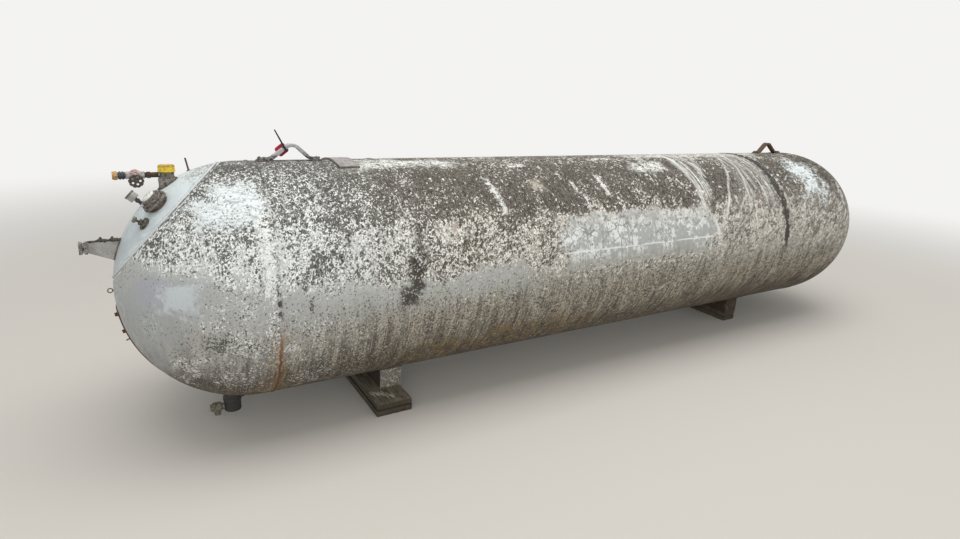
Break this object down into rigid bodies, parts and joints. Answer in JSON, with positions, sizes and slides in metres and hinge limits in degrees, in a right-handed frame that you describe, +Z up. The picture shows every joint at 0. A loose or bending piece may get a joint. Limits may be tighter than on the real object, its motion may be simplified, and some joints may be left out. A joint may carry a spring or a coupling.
{
  "type": "horizontal pressure tank",
  "caption": "Horizontal welded steel pressure tank with domed heads, saddles on packing boards, lifting lugs, and a fill cap, valves and gauges on one head, in weathered silver paint.",
  "frame": {"origin": "centre of the whole part's box, at ground level under the boards", "axes": "+X along the tank from the valve end to the plain end, +Z up, -Y the side that the picture shows"},
  "size_m": [4.9614, 1.0464, 1.298],
  "materials": {
    "weathered_paint": "weathered",
    "weld_bead": "weathered",
    "rim_paint": "weathered",
    "lug_paint": "weathered",
    "pad_paint": "weathered",
    "saddle_paint": "weathered",
    "bracket_paint": "weathered",
    "rusty_steel": "rusted",
    "grimy_steel": "grimy",
    "valve_iron": "weathered",
    "handwheel_iron": "rusted",
    "dark_steel": "worn",
    "yellow_cap": "dirty",
    "brass": "dull",
    "dial_white": "aged",
    "gauge_case": "weathered",
    "red_plastic": "plain",
    "black_plastic": "plain",
    "old_wood": "weathered"
  },
  "bodies": {
    "tank": {"shell_near": "weathered_paint", "shell_middle": "weathered_paint", "shell_far": "weathered_paint", "head_near": "weathered_paint", "head_far": "weathered_paint", "weld_head_near": "weld_bead", "weld_near": "weld_bead", "weld_far": "weld_bead", "weld_head_far": "weld_bead", "hood_rim": "rim_paint", "lifting_lug_near": "lug_paint", "lifting_lug_far": "rusty_steel", "top_pad": "pad_paint", "saddle_near": "saddle_paint", "saddle_far": "rusty_steel", "board_near_lower": "old_wood", "board_near_upper": "old_wood", "board_far_lower": "old_wood", "board_far_upper": "old_wood", "fill_nozzle": "grimy_steel", "fill_valve": "grimy_steel", "fill_cap": "yellow_cap", "outlet_nipple": "rusty_steel", "globe_valve": "valve_iron", "valve_bonnet": "valve_iron", "hose_coupling": "dark_steel", "brass_nut": "brass", "float_gauge_flange": "grimy_steel", "float_gauge_body": "grimy_steel", "float_gauge_dial": "dial_white", "float_gauge_bolts": "rusty_steel", "pressure_gauge_stem": "dark_steel", "pressure_gauge_case": "gauge_case", "bleeder_valve": "dark_steel", "bleeder_knob": "rusty_steel", "head_stud": "rusty_steel", "end_bracket": "bracket_paint", "bracket_clamp": "bracket_paint", "bracket_bolts": "rusty_steel", "end_ring": "rusty_steel", "end_plate": "rusty_steel", "end_plugs": "rusty_steel", "drain_coupling": "dark_steel", "drain_valve": "valve_iron", "red_tag": "red_plastic", "cable_tie": "black_plastic"},
    "handwheel": {"handwheel": "handwheel_iron"}
  },
  "joints": [
    {"name": "handwheel_turn", "type": "hinge", "parent": "tank", "child": "handwheel", "pos_m": [-2.26012, 0, 1.1127], "axis": [0, -0.9877, -0.1564], "range_deg": [0, 1440]}
  ]
}
